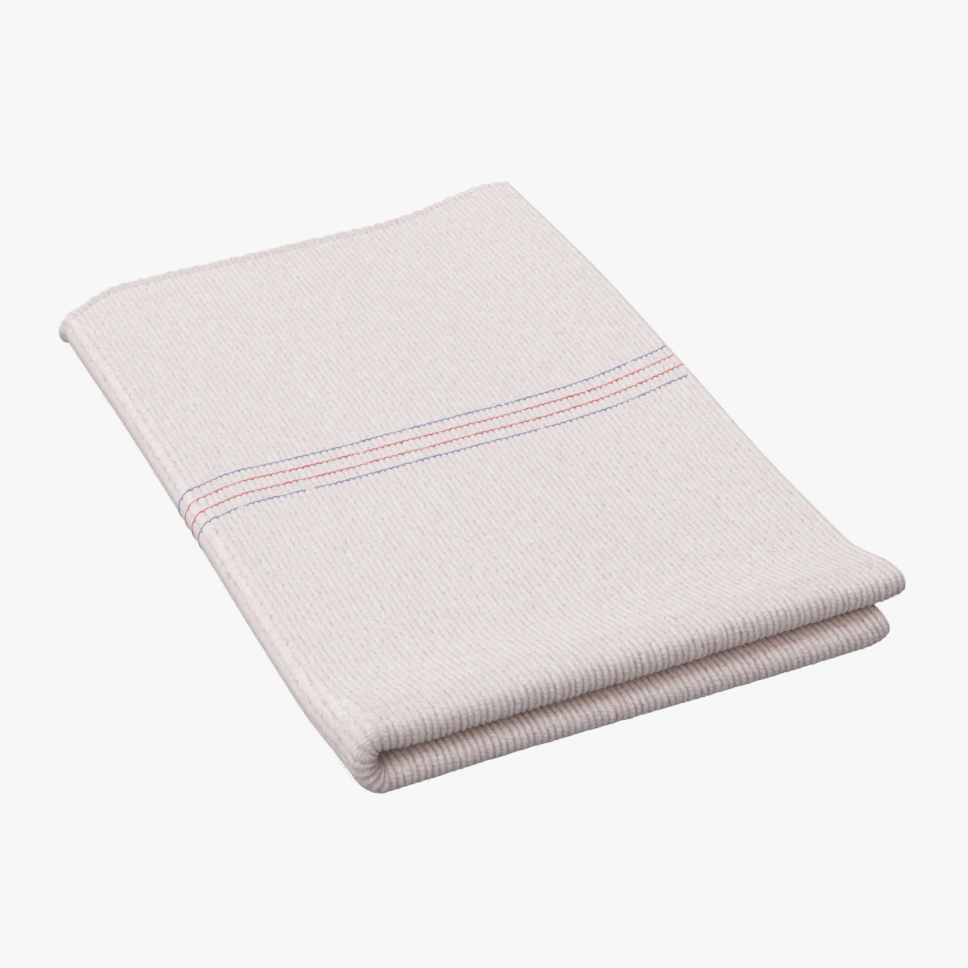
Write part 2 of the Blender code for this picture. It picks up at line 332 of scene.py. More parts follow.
def curve_through(stations, values, at):
    """The smooth curve through a table's values, which stays level past its ends."""
    at = np.clip(at, stations[0], stations[-1])
    values = np.asarray(values)
    slopes = np.gradient(values, stations, axis=0)
    i = np.clip(np.searchsorted(stations, at, side="right") - 1, 0, len(stations) - 2)
    span = stations[i + 1] - stations[i]
    f = (at - stations[i]) / span

    def pick(table, row):
        return np.take_along_axis(table, row[None], 0)[0] if table.ndim > 1 else table[row]

    return (
        pick(values, i) * (1 + 2 * f) * (1 - f) ** 2
        + pick(slopes, i) * span * f * (1 - f) ** 2
        + pick(values, i + 1) * f * f * (3 - 2 * f)
        - pick(slopes, i + 1) * span * f * f * (1 - f)
    )


def ease(share):
    """0 to 1 with level ends."""
    share = np.clip(share, 0.0, 1.0)
    return share * share * (3 - 2 * share)


def broadcast(*values):
    return np.broadcast_arrays(*(np.asarray(value, float) for value in values))


class FoldedSheet:
    """Where each point of the sheet lies once it is folded.

    column counts half ribs from the left fold, positive on the upper half. angle goes round the front roll,
    from -90 degrees on the inner layer to +90 on the outer one. run is the distance behind the roll. lift is
    the height over the layer's middle, towards the outside of the roll.
    """

    def __init__(self, sizes):
        self.sizes = sizes
        self.thickness = sizes.thickness
        self.half_rib = sizes.width / sizes.ribs / 2
        self.top = sizes.ribs + OFF_MIDDLE
        self.bottom = sizes.ribs - OFF_MIDDLE
        self.mean_roll = MEAN_RADIUS - self.thickness / 2
        self.run_length = sizes.length / 2 - self.mean_roll * pi / 2

    def outline(self, name, depth):
        return curve_through(OUTLINE[:, 0], OUTLINE[:, OUTLINE_COLUMNS.index(name)], depth)

    def roll(self, name, across):
        return curve_through(ROLLS[:, 0], ROLLS[:, ROLL_COLUMNS.index(name)], across)

    def hem_share(self, run):
        """0 on the ribbed cloth, 1 on the hem."""
        rise = HEM_RISE * self.sizes.hem_width
        return ease((run - self.run_length + self.sizes.hem_width) / rise)

    def gathers(self, column, run):
        """-1 to 1: the ripples that the sewing draws into the hem."""
        share = ease((run - self.run_length + GATHER_REACH) / (GATHER_RISE * GATHER_REACH))
        size = GATHER_SHARE + GATHER_SIZES.at(column)
        return share * size * np.sin(2 * pi * GATHERS * column + GATHER_SHIFTS.at(column))

    def layer_gap(self, across, run):
        rows = np.stack([curve_through(LOFT_ACROSS, row, across) for row in LOFT])
        height = curve_through(LOFT_DEPTH, rows, run / self.run_length)
        swell = 2 * self.sizes.hem_swell * self.hem_share(run)
        return np.maximum((height - 4 * (self.thickness + swell)) / 3, LEAST_GAP) + swell

    def mean_spread(self, radius, run, gap, taper):
        """How far a layer's middle lies from the middle of its pair."""
        flat = (self.thickness + gap) / 2
        bulge = (1 + np.cos(pi * np.clip(run / taper, 0, 1))) / 2
        return flat + (radius - self.thickness / 2 - flat) * bulge

    def front(self, across, depth, up):
        """Where the front of the rolls lies. up is 0 on the lower roll and 1 on the upper one."""
        set_back = self.roll("set_back", across) * (up + (1 - up) * ease(depth))
        return FRONT_Y + self.roll("front", across) + set_back

    def pulled_in(self, column, across, run):
        """How far the hems lie short of a straight line, with their ripples."""
        depth = run / self.run_length
        line = curve_through(HEM_LINE[:, 0], HEM_LINE[:, 1], across)
        line = line * ease((depth - HEM_FROM) / (1 - HEM_FROM))
        ruffle = RUFFLE.at(column, run) * ease((depth - RUFFLE_FROM) / (1 - RUFFLE_FROM))
        return line + ruffle - GATHER_PULL * self.gathers(column, run)

    def point(self, column, angle, run, lift):
        column, angle, run, lift = broadcast(column, angle, run, lift)
        column = column + self.sway(column, angle, run)
        along = column * self.half_rib
        across = np.clip(np.abs(column) / np.where(column > 0, self.top, self.bottom), 0, 1)
        depth = run / self.run_length
        taper = self.roll("taper", across)
        behind_roll = 1 - ease(run / taper)
        gap = self.layer_gap(across, run)
        # The left fold, where the lower half turns into the upper one
        zero = np.zeros_like(across)
        gap_left = self.layer_gap(zero, run)
        opening = CORNER_OPENING * np.exp(-((along / CORNER_LENGTH) ** 2)) * behind_roll
        fold_spread = self.mean_spread(self.roll("lower", zero), run, gap_left, self.roll("taper", zero))
        fold_half = fold_spread + (self.thickness + gap_left) / 2 + opening
        quarter = fold_half * pi / 2
        turn = np.clip(along / quarter, -1, 1) * pi / 2
        up = (np.sin(turn) + 1) / 2
        # The front roll and the two layers behind it
        lower = self.roll("lower", across)
        radius = lower * (1 - up) + self.roll("upper", across) * up
        mean = radius - self.thickness / 2
        spread = self.mean_spread(radius, run, gap, taper)
        slope = (self.mean_spread(radius, run + SLOPE_STEP, gap, taper) - spread) / SLOPE_STEP
        tilt = np.hypot(slope, 1)
        rolled = run <= 0
        back = np.where(rolled, mean - (mean + lift) * np.cos(angle), mean + run - lift * slope / tilt)
        out = np.where(rolled, (mean + lift) * np.sin(angle), np.sign(angle) * (spread + lift / tilt))
        half = spread + (self.thickness + gap) / 2 + opening
        centre = 2 * self.mean_spread(lower, run, gap, taper) + self.thickness + gap / 2 + opening
        # Across, from the left fold to the selvedges
        left = self.outline("left", depth) + fold_half + fold_spread + self.thickness / 2
        right = self.outline("right", depth)
        inset = LOWER_INSET + INNER_INSET * ((1 - np.sin(angle)) / 2) ** 2
        x_upper = left + (right - left) * (along - quarter) / (self.top * self.half_rib - quarter)
        lower_length = self.bottom * self.half_rib - quarter
        x_lower = left + (right - inset - left) * (-along - quarter) / lower_length
        x_fold = left - (half + out) * np.cos(turn)
        x = np.where(along > quarter, x_upper, np.where(along < -quarter, x_lower, x_fold))
        x = x - HEM_BULGE * self.hem_share(run) * np.exp(-((along / BULGE_REACH) ** 2))
        # From the front to the hems
        end = np.clip((across - 1 + END_LENGTH) / END_LENGTH, 0, 1) ** 2
        rounded = (END_ROUND_LOWER * (1 - up) + END_ROUND_UPPER * up) * end * behind_roll
        bow = BOW * (1 - np.abs(2 * across - 1) ** 3) * ease(depth / BOW_FROM)
        y = self.front(across, depth, up) + back + rounded - bow - self.pulled_in(column, across, run)
        z = np.maximum(centre + (half + out) * np.sin(turn), 0.0)
        return np.stack([x - FOOTPRINT_MIDDLE[0], y - FOOTPRINT_MIDDLE[1], z], axis=-1)

    def length_at(self, angle, run):
        """Distance along the sheet from the middle of the front roll."""
        return np.where(run > 0, np.sign(angle) * (self.mean_roll * pi / 2 + run), angle * self.mean_roll)

    def sway(self, column, angle, run):
        """Half ribs by which the ribs wander from their straight lines."""
        along = self.length_at(angle, run)
        edge = np.clip(np.minimum(self.top - column, column + self.bottom) / STEADY_EDGE, 0, 1)
        bent = np.exp(-((along / (2 * self.mean_roll)) ** 2))
        fine = (FINE_SWAY[0] + FINE_SWAY[1] * bent) * SWAY_FINE.at(column, along)
        return (SWAY.at(column, along) + fine) * edge

    def end_reach(self):
        """Distance from a hem's end over which it is rounded."""
        return self.thickness / 2 + self.sizes.hem_swell

    def roundness(self, column, run):
        """Share of the thickness that is left near a selvedge and near a hem's end."""
        past = np.maximum(column - self.top, -self.bottom - column)
        side = np.maximum(past + SELVEDGE_REACH, 0) / SELVEDGE_REACH
        end = np.maximum(run - self.run_length + self.end_reach(), 0) / self.end_reach()
        return np.sqrt(np.clip(1 - side**2, 0, 1)) * np.sqrt(np.clip(1 - end**2, 0, 1))

    def openness(self, angle, run):
        """1 on a roll, where the furrows are open, and 0 on the flat faces."""
        return ease((OPEN_AT[1] - angle) / (OPEN_AT[1] - OPEN_AT[0])) * (1 - ease(run / BENT_REACH))

    def furrow_depth(self, column, angle, run):
        flat = self.sizes.rib_depth * (1 - PRESSED_BACK * np.clip(run / self.run_length, 0, 1))
        depth = flat + (self.sizes.roll_rib_depth - flat) * self.openness(angle, run)
        depth = depth * (1 + FURROW_LUMPS.at(column, self.length_at(angle, run)))
        depth = depth * (1 - HEM_PRESSED * self.hem_share(run))
        pressed = ease((angle - PRESSED[0]) / (PRESSED[1] - PRESSED[0])) * (column < 0)
        worn = np.exp(-((column / np.where(column < 0, *WORN_COLUMNS)) ** 2))
        worn = worn * ease((angle - WORN_FROM) / (pi / 2 - WORN_FROM))
        return depth * (1 - pressed) * (1 - WORN_DEPTH * worn)

    def outer_lift(self, column, angle, run):
        """Height of the outer face over the layer's middle: rounded ribs with furrows between them."""
        column, angle, run = broadcast(column, angle, run)
        along, bent, hem = self.length_at(angle, run), self.openness(angle, run), self.hem_share(run)
        crest = np.abs(np.sin(pi * column / 2)) ** RIB_ROUNDNESS
        furrow = self.furrow_depth(column, angle, run) * (1 - crest)
        yarn = YARN_LUMPS.at(column, along) + bent * sum(lump.at(column, along) for lump in ROLL_LUMPS)
        soft = self.sizes.unevenness * SOFT_LUMPS.at(column, along) * (1 - bent) * (column > 0)
        ripple = GATHER_HEIGHT * self.gathers(column, run) * (column > 0) * (angle > 0)
        full = self.thickness / 2 + self.sizes.hem_swell * hem - furrow + yarn * (1 - hem) + ripple
        return (full + np.minimum(soft, 0)) * self.roundness(column, run)

    def inner_lift(self, column, angle, run):
        """Height of the plain inner face over the layer's middle, which doesn't change with the angle."""
        swell = self.sizes.hem_swell * self.hem_share(run)
        return -(self.thickness / 2 + swell) * self.roundness(column, run)

    def edge_columns(self, sign):
        """The last columns before a selvedge, close together where it is rounded."""
        last = self.top if sign > 0 else self.bottom
        return [sign * (last - SELVEDGE_REACH * (1 - share)) for share in ROUND_SHARES]

    def plain_columns(self):
        """Columns of a hidden face: close together round the left fold and at the selvedges."""
        upper = np.arange(PLAIN_STEP, self.top - PLAIN_END, PLAIN_STEP)
        lower = -np.arange(PLAIN_STEP, self.bottom - PLAIN_END, PLAIN_STEP)
        fold = np.arange(-FOLD_REACH, FOLD_REACH + 1, FOLD_STEP)
        ends = [end for reach in NEAR_SELVEDGE for end in (self.top - reach, reach - self.bottom)]
        joined = [*upper, *lower, *fold, *ends, *self.edge_columns(1), *self.edge_columns(-1)]
        return np.unique(np.round(joined, 4))

    def all_columns(self):
        middle = np.arange(RIBBED_END - self.bottom, self.top - RIBBED_END + RIB_STEP / 2, RIB_STEP)
        return np.unique(np.round([*middle, *self.edge_columns(1), *self.edge_columns(-1)], 4))

    def rows(self):
        """(angle, run, kind) of each row, from the inner layer's hem round the roll to the outer one's."""
        hem_start = self.run_length - self.sizes.hem_width - HEM_LEAD
        shown = np.linspace(0, hem_start, round(hem_start / ROW_STEP) + 1)[1:]
        hidden = np.linspace(0, hem_start, round(hem_start / PLAIN_ROW_STEP) + 1)[2:]
        hem = [hem_start + past for past in HEM_ROWS]
        hem += [self.run_length - self.end_reach() * (1 - share) for share in ROUND_SHARES]
        inner = [(-pi / 2, run, "hem") for run in reversed(hem)]
        inner += [(-pi / 2, run, "hidden") for run in reversed(hidden)]
        inner += [(-pi / 2, run, "shown") for run in NEAR_ROLL]
        rolled = [(angle, 0.0, "roll") for angle in np.linspace(-pi / 2, pi / 2, ROLL_STEPS + 1)]
        outer = [(pi / 2, run, "shown") for run in shown] + [(pi / 2, run, "hem") for run in hem]
        return inner + rolled + outer

    def columns_of(self, face, angle, kind):
        plain, every = self.plain_columns(), self.all_columns()
        if kind == "hem":
            return every
        if face < 0 or kind == "hidden":
            return plain
        if angle > UNDERSIDE:
            return np.concatenate([plain[plain < -FOLD_REACH], every[every >= -FOLD_REACH]])
        return every


def zip_rows(first, second, first_at, second_at):
    """Triangles and quads between two rows of vertex numbers, which may lie at different columns."""
    faces, i, j = [], 0, 0
    first_at, second_at = [*first_at, np.inf], [*second_at, np.inf]
    while i < len(first) - 1 or j < len(second) - 1:
        lead = first_at[i + 1] - second_at[j + 1]
        face = [first[i], second[j]]
        if lead > -SAME_PLACE:
            j += 1
            face.insert(1, second[j])
        if lead < SAME_PLACE:
            i += 1
            face.insert(1, first[i])
        faces.append(face)
    return faces


def new_mesh(name, points, edges=(), faces=()):
    mesh = bpy.data.meshes.new(name)
    mesh.from_pydata(points, edges, faces)
    return mesh


def add_object(name, data):
    made = bpy.data.objects.new(name, data)
    bpy.context.scene.collection.objects.link(made)
    return made


def sheet_mesh(sheet):
    """The closed mesh of the folded sheet, with its weave coordinates as a UV map."""
    points, weave, faces, count = [], [], [], 0
    for face in (1, -1):
        before = None
        for angle, run, kind in sheet.rows():
            columns = sheet.columns_of(face, angle, kind)
            lift = sheet.outer_lift if face > 0 else sheet.inner_lift
            lifts = lift(columns, angle, run)
            if face > 0:
                on_floor = (columns < -FOLD_REACH) & (angle > UNDERSIDE)
                lifts = np.where(on_floor, -sheet.inner_lift(columns, angle, run), lifts)
            points.append(sheet.point(columns, angle, run, lifts))
            along = float(sheet.length_at(angle, run)) / (2 * sheet.half_rib)
            weave.append(np.stack([columns / 2, np.full(len(columns), along)], axis=1))
            row = range(count, count + len(columns))
            count += len(columns)
            if before is not None:
                made = zip_rows(before[0], row, before[1], columns)
                faces += made if face > 0 else [corners[::-1] for corners in made]
            before = (row, columns)
    points, weave = np.concatenate(points), np.concatenate(weave)
    mesh = new_mesh("ribbed_cloth", points.tolist(), faces=faces)
    layer = mesh.uv_layers.new(name="Weave")
    corner_vertex = np.empty(len(mesh.loops), np.int32)
    mesh.loops.foreach_get("vertex_index", corner_vertex)
    layer.uv.foreach_set("vector", weave[corner_vertex].astype(np.float32).ravel())
    return mesh


def weld(mesh):
    work = bmesh.new()
    work.from_mesh(mesh)
    bmesh.ops.remove_doubles(work, verts=work.verts[:], dist=SAME_PLACE)
    bmesh.ops.recalc_face_normals(work, faces=work.faces[:])
    work.to_mesh(mesh)
    work.free()
    mesh.shade_smooth()


def show(mesh, name, material):
    """Adds the finished mesh to the scene as a piece that goes with the cloth."""
    piece = add_object(name, mesh)
    mesh.name = name
    if not mesh.materials:
        mesh.materials.append(material)
    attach(piece, BODY)
    return piece


class Nodes:
    """Short names for the nodes of a tree. An input is a value, or the socket that feeds it."""

    def __init__(self, tree):
        self.tree = tree

    def feed(self, node, inputs):
        for name, value in inputs.items():
            socket = node.inputs[name]
            if isinstance(value, bpy.types.NodeSocket):
                self.tree.links.new(value, socket)
            else:
                socket.default_value = (*value, 1.0) if socket.type == "RGBA" else value

    def add(self, kind, inputs=None, **settings):
        node = self.tree.nodes.new(kind)
        for name, value in settings.items():
            setattr(node, name, value)
        self.feed(node, inputs or {})
        return node

    def math(self, operation, a, b=0.0, c=0.0):
        return self.add("ShaderNodeMath", {0: a, 1: b, 2: c}, operation=operation).outputs[0]

    def times(self, a, b):
        return self.math("MULTIPLY", a, b)

    def vector(self, x=0.0, y=0.0, z=0.0):
        return self.add("ShaderNodeCombineXYZ", {"X": x, "Y": y, "Z": z}).outputs[0]

    def parts(self, vector):
        return self.add("ShaderNodeSeparateXYZ", {0: vector}).outputs

    def noise(self, at, scale=1.0, detail=2.0, roughness=0.5):
        inputs = {"Vector": at, "Scale": scale, "Detail": detail, "Roughness": roughness}
        return self.add("ShaderNodeTexNoise", inputs).outputs["Fac"]

    def span(self, value, low, high, to_low=0.0, to_high=1.0):
        inputs = {"Value": value, "From Min": low, "From Max": high, "To Min": to_low, "To Max": to_high}
        return self.add("ShaderNodeMapRange", inputs).outputs["Result"]

    def swing(self, value, reach):
        """A noise as a value from -reach to reach."""
        return self.span(value, *NOISE_RANGE, -reach, reach)

    def mix(self, share, first, second, blend="MIX"):
        inputs = {"Factor": share, 6: first, 7: second}
        return self.add("ShaderNodeMix", inputs, data_type="RGBA", blend_type=blend).outputs[2]


class Recipe(Nodes):
    """A material with one Principled shader."""

    def __init__(self, name):
        self.material = bpy.data.materials.new(name)
        self.material.use_nodes = True
        super().__init__(self.material.node_tree)

    def bump(self, height, distance, strength):
        inputs = {"Height": height, "Distance": distance, "Strength": strength}
        return self.add("ShaderNodeBump", inputs).outputs["Normal"]

    def finish(self, inputs):
        """The material, with these inputs of its shader."""
        self.feed(self.tree.nodes["Principled BSDF"], inputs)
        return self.material


class CottonRecipe(Recipe):
    """Undyed cotton: mottled yarn in short picks, with painted shade as dark lines and dashes in the furrows,
    painted light and shade on the rolls and in the fold, and a few coloured flecks.

    column and along are the place on the weave in rib widths, from the left fold and from the middle of the
    front roll. across is the column as the ribs sway.
    """

    def __init__(self, sizes):
        super().__init__("cotton")
        self.sizes = sizes
        self.uv = self.add("ShaderNodeUVMap", uv_map="Weave").outputs["UV"]
        self.column, self.along = self.parts(self.uv)["X"], self.parts(self.uv)["Y"]
        wander = self.mottle(self.column, 0.9, 1.3, layer=3.0, detail=1.0)
        self.across = self.math("ADD", self.column, self.swing(wander, 0.13))
        self.rib = self.math("FLOOR", self.across)
        wave = self.math("COSINE", self.times(self.across, 2 * pi))
        self.crest = self.math("MULTIPLY_ADD", wave, -0.5, 0.5)
        self.inwards = self.span(self.along, *FOLDED_RIBS)
        self.bent = self.times(self.span(self.along, *BENT_RIBS, 1.0, 0.0), self.inwards)
        self.pick = self.picks()
        self.grain = self.mottle(self.across, 3.3, 3.0, layer=9.0, detail=3.0, roughness=0.65)

    def mottle(self, column, across, along, layer=0.0, detail=2.0, roughness=0.5, scale=1.0):
        """Noise over the weave, with its waves in each rib width across and along."""
        run = self.times(self.along, along)
        at = self.vector(self.times(column, across), run, layer)
        return self.noise(at, scale, detail, roughness)

    def by_bend(self, flat, bent):
        """A value that is different on the flat faces and on the rolls."""
        return self.math("MULTIPLY_ADD", self.bent, bent - flat, flat)

    def near_fold(self, narrow):
        """1 at the left fold, fading on both sides of it."""
        away = self.math("POWER", self.times(self.column, 1.0 / STRETCHED_RIBS), 2.0)
        return self.math("EXPONENT", self.times(away, -narrow))

    def picks(self):
        """1 on the short lumps of yarn that follow each other along a rib, 0 between them."""
        in_rib = self.math("FRACT", self.across)
        phase = self.math("MULTIPLY_ADD", self.along, PICKS * 2 * pi, self.times(in_rib, 3.4))
        stagger = self.mottle(self.rib, 2.3, 0.5, layer=6.0)
        shift = self.math("MULTIPLY_ADD", stagger, 14.0, self.times(self.rib, 2.1))
        wave = self.math("COSINE", self.math("ADD", phase, shift))
        return self.math("MULTIPLY_ADD", wave, 0.5, 0.5)

    def furrows(self):
        """Painted shade in the furrows: how dark they are painted, as a fine line, and dashes where they are
        open, darker on the rolls and beside the left fold.
        """
        number = self.math("ROUND", self.across)
        dash_shade = self.span(self.mottle(number, 5.37, 0.85, roughness=0.6), 0.48, 0.66)
        dash_shade = self.times(dash_shade, self.span(self.along, 30.0, 130.0, 0.46, 0.30))
        line = self.math("MULTIPLY_ADD", self.near_fold(1.0), 0.07, self.by_bend(0.16, 0.32))
        valley_shade = self.math("POWER", self.math("SUBTRACT", 1.0, self.crest), self.by_bend(5.0, 2.8))
        dark = self.times(self.math("ADD", dash_shade, line), valley_shade)
        return self.times(dark, self.math("MULTIPLY_ADD", self.pick, -0.22, 1.1))

    def shaded(self, share, colour, light):
        return self.mix(share, colour, self.vector(light, light, light), "MULTIPLY")

    def mottled(self):
        """The yarn's colour: patches across some ribs, streaks that follow one rib, and grain, with painted
        shade between the picks.
        """
        patch = self.span(self.mottle(self.across, 0.42, 0.30, detail=3.0, roughness=0.55), 0.40, 0.62)
        hue = self.span(self.mottle(self.across, 1.9, 0.60, layer=15.0), 0.40, 0.60, 0.0, 0.4)
        patch = self.math("MULTIPLY_ADD", patch, 0.6, hue)
        streak = self.mottle(self.rib, 3.71, 0.30, layer=4.0, detail=3.0)
        strand = self.mottle(self.across, 2.6, 0.50, layer=12.0, detail=3.0, roughness=0.6)
        stroke = self.mottle(self.across, 1.8, 6.0, layer=17.0, roughness=0.6)
        light = self.math("ADD", self.span(streak, 0.25, 0.75, 0.965, 1.015), self.swing(strand, 0.045))
        for part, share in (
            (self.swing(self.grain, 0.075), self.by_bend(1.0, 2.0)),
            (self.swing(stroke, 0.05), self.by_bend(0.6, 2.0)),
            # Painted shade: darker between the picks of yarn and lighter on them, twice as strong on the
            # rolls
            (self.math("SUBTRACT", self.pick, 0.6), self.by_bend(0.03, 0.06)),
        ):
            light = self.math("MULTIPLY_ADD", part, share, light)
        return self.shaded(1.0, self.mix(patch, self.sizes.cotton, self.sizes.bleached), light)

    def tinted(self, colour):
        """Painted light and shade: a warmer tint for the rolls' shade, painted light on the lower roll and
        painted shade at its foot, and painted shade where the rolls turn into the fold and deep in the front
        left corner.
        """
        # Painted shade: the rolls' warmer shade tint
        colour = self.mix(self.bent, colour, self.sizes.roll_shade_tint, "MULTIPLY")
        # Painted light on the lower roll and painted shade on its foot
        lower_painted_light = self.times(self.span(self.column, *LOWER_COLUMNS), self.bent)
        colour = self.shaded(lower_painted_light, colour, self.span(self.along, *LOWER_FOOT, *LOWER_PAINTED_LIGHT))
        # Painted shade where the rolls turn into the fold
        fold_shade = self.times(self.span(self.along, *FOLD_SHADE_RIBS), self.inwards)
        colour = self.mix(fold_shade, colour, self.sizes.fold_painted_shade, "MULTIPLY")
        # Painted shade deep in the front left corner
        corner_shade = self.times(self.near_fold(CORNER_SHADE_NARROW), self.span(self.along, *CORNER_SHADE_RIBS))
        corner_shade = self.times(corner_shade, self.inwards)
        return self.mix(corner_shade, colour, self.sizes.corner_painted_shade, "MULTIPLY")

    def flecked(self, colour):
        """With flecks of seed husk and of stray dyed fibre."""
        cells = self.add("ShaderNodeTexVoronoi", {"Vector": self.uv, "Scale": 0.33}).outputs
        kind = self.parts(cells["Color"])
        near = self.math("LESS_THAN", cells["Distance"], 0.055)
        fleck = self.times(near, self.math("GREATER_THAN", kind["X"], 0.90))
        tint = self.mix(self.math("GREATER_THAN", kind["Y"], 0.6), HUSK, STRAY_FIBRE)
        return self.mix(self.times(fleck, 0.55), colour, tint)

    def fuzz(self):
        """The relief of the picks and of the fibres in the yarn."""
        height = self.times(self.times(self.pick, self.math("SQRT", self.crest)), 0.42)
        for part, share in (
            (self.grain, 0.45),
            (self.mottle(self.across, 3.3, 3.0, layer=9.0, scale=2.6), 0.35),
            (self.mottle(self.across, 1.8, 6.0, layer=17.0, scale=1.3), 0.40),
        ):
            height = self.math("MULTIPLY_ADD", part, share, height)
        return self.bump(height, 0.00040, self.by_bend(0.55, 1.0))

    def make(self):
        # Painted shade: the furrows are darkened towards the furrow colour
        dark = self.times(self.furrows(), 0.8)
        colour = self.mix(dark, self.mottled(), self.sizes.furrow)
        return self.finish(
            {
                "Base Color": self.flecked(self.tinted(colour)),
                "Normal": self.fuzz(),
                "Roughness": 0.95,
                "Specular IOR Level": 0.15,
                "Sheen Weight": 0.15,
                "Sheen Roughness": 0.6,
            }
        )


def thread_material(name, colour):
    """Dyed thread, a little paler where it is worn."""
    recipe = Recipe(name)
    at = recipe.add("ShaderNodeTexCoord").outputs["Object"]
    worn = recipe.span(recipe.noise(at, 420.0, 3.0, 0.6), 0.38, 0.64)
    pale = tuple(0.45 * part + 0.42 for part in colour)
    return recipe.finish(
        {
            "Base Color": recipe.mix(recipe.times(worn, 0.80), colour, pale),
            "Normal": recipe.bump(recipe.noise(at, 2600.0, 2.0), 0.00008, 0.8),
            "Roughness": 0.85,
            "Specular IOR Level": 0.2,
            "Sheen Weight": 0.2,
        }
    )


def fibre_material(colour):
    return Recipe("fibre").finish({"Base Color": colour, "Roughness": 0.9, "Specular IOR Level": 0.1})


class GrowingTree(Nodes):
    """A geometry tree that grows yarn or fibres on the mesh it is given.

    Its other inputs are each (name, socket type, default).
    """

    def __init__(self, name, inputs):
        super().__init__(bpy.data.node_groups.new(name, "GeometryNodeTree"))
        sockets = self.tree.interface
        for way in ("OUTPUT", "INPUT"):
            sockets.new_socket("Geometry", in_out=way, socket_type="NodeSocketGeometry")
        for label, kind, default in (*inputs, ("Material", "NodeSocketMaterial", None)):
            socket = sockets.new_socket(label, in_out="INPUT", socket_type=kind)
            if default is not None:
                socket.default_value = default
        self.given = self.add("NodeGroupInput").outputs

    def tube(self, curve, width, sides, capped=False):
        """The mesh of a strand of that width along a curve."""
        ring = self.add("GeometryNodeCurvePrimitiveCircle", {"Resolution": sides, "Radius": 1.0})
        inputs = {
            "Curve": curve,
            "Profile Curve": ring.outputs["Curve"],
            "Scale": self.times(width, 0.5),
            "Fill Caps": capped,
        }
        return self.add("GeometryNodeCurveToMesh", inputs).outputs["Mesh"]

    def finish(self, geometry):
        """The tree, with this result as a real mesh in the given material."""
        real = self.add("GeometryNodeRealizeInstances", {"Geometry": geometry}).outputs["Geometry"]
        inputs = {"Geometry": real, "Material": self.given["Material"]}
        dyed = self.add("GeometryNodeSetMaterial", inputs).outputs["Geometry"]
        self.add("NodeGroupOutput", {"Geometry": dyed})
        return self.tree


def yarn_tree():
    """Yarn of a given width along each line of the source mesh, a little uneven."""
    inputs = (
        ("Yarn Width", "NodeSocketFloat", 0.0005),
        ("Sides", "NodeSocketInt", 6),
        ("Unevenness", "NodeSocketFloat", 0.2),
        ("Lump Scale", "NodeSocketFloat", 300.0),
    )
    tree = GrowingTree("yarn_on_paths", inputs)
    given = tree.given
    line = tree.add("GeometryNodeMeshToCurve", {"Mesh": given["Geometry"]}).outputs["Curve"]
    lump = tree.add("ShaderNodeTexNoise", {"Scale": given["Lump Scale"], "Detail": 1.0}).outputs["Fac"]
    share = tree.math("MULTIPLY_ADD", tree.swing(lump, 1.0), given["Unevenness"], 1.0)
    width = tree.times(share, given["Yarn Width"])
    tube = tree.tube(line, width, given["Sides"], capped=True)
    return tree.finish(tree.add("GeometryNodeSetShadeSmooth", {"Geometry": tube}).outputs["Geometry"])


def nap_tree():
    """Short bent fibres that stand and lie on a surface."""
    inputs = (
        ("Density", "NodeSocketFloat", 10000.0),
        ("Fibre Length", "NodeSocketFloat", 0.0015),
        ("Fibre Width", "NodeSocketFloat", 0.00005),
        ("Seed", "NodeSocketInt", 3),
    )
    tree = GrowingTree("nap_on_surface", inputs)
    add, given = tree.add, tree.given
    spread = add(
        "GeometryNodeDistributePointsOnFaces",
        {"Mesh": given["Geometry"], "Density": given["Density"], "Seed": given["Seed"]},
    ).outputs
    bend = {"Resolution": 2, "Start": (0.0, 0.0, 0.0)}
    for name, way in (("Middle", (0.10, 0.12, 0.55)), ("End", (-0.15, 0.55, 0.75))):
        inputs = {0: way, "Scale": given["Fibre Length"]}
        bend[name] = add("ShaderNodeVectorMath", inputs, operation="SCALE").outputs[0]
    curve = add("GeometryNodeCurveQuadraticBezier", bend).outputs["Curve"]
    fibre = tree.tube(curve, given["Fibre Width"], sides=3)
    lean = add(
        "FunctionNodeRandomValue",
        {0: (-0.9, 0.0, 0.0), 1: (1.1, 0.0, 2 * pi), "Seed": given["Seed"]},
        data_type="FLOAT_VECTOR",
    ).outputs[0]
    turned = add(
        "FunctionNodeRotateRotation",
        {"Rotation": spread["Rotation"], "Rotate By": lean},
        rotation_space="LOCAL",
    ).outputs["Rotation"]
    size = add(
        "FunctionNodeRandomValue", {2: 0.5, 3: 1.3, "Seed": given["Seed"]}, data_type="FLOAT"
    ).outputs[1]
    inputs = {"Points": spread["Points"], "Instance": fibre, "Rotation": turned, "Scale": size}
    return tree.finish(add("GeometryNodeInstanceOnPoints", inputs).outputs["Instances"])


def grown(source, tree, values):
    """The plain mesh that a geometry tree makes from the source mesh."""
    holder = add_object("holder", source)
    modifier = holder.modifiers.new("grow", "NODES")
    modifier.node_group = tree
    identifiers = {
        item.name: item.identifier
        for item in tree.interface.items_tree
        if item.item_type == "SOCKET" and item.in_out == "INPUT"
    }
    for name, value in values.items():
        modifier[identifiers[name]] = value
    graph = bpy.context.evaluated_depsgraph_get()
    mesh = bpy.data.meshes.new_from_object(holder.evaluated_get(graph), depsgraph=graph)
    bpy.data.objects.remove(holder)
    if not mesh.polygons:
        raise RuntimeError(f"{tree.name} made no faces")
    return mesh


def line_mesh(name, lines):
    """A mesh of open lines, each an array of points."""
    points, edges, count = [], [], 0
    for line in lines:
        points += line.tolist()
        edges += [(count + i, count + i + 1) for i in range(len(line) - 1)]
        count += len(line)
    return new_mesh(name, points, edges)


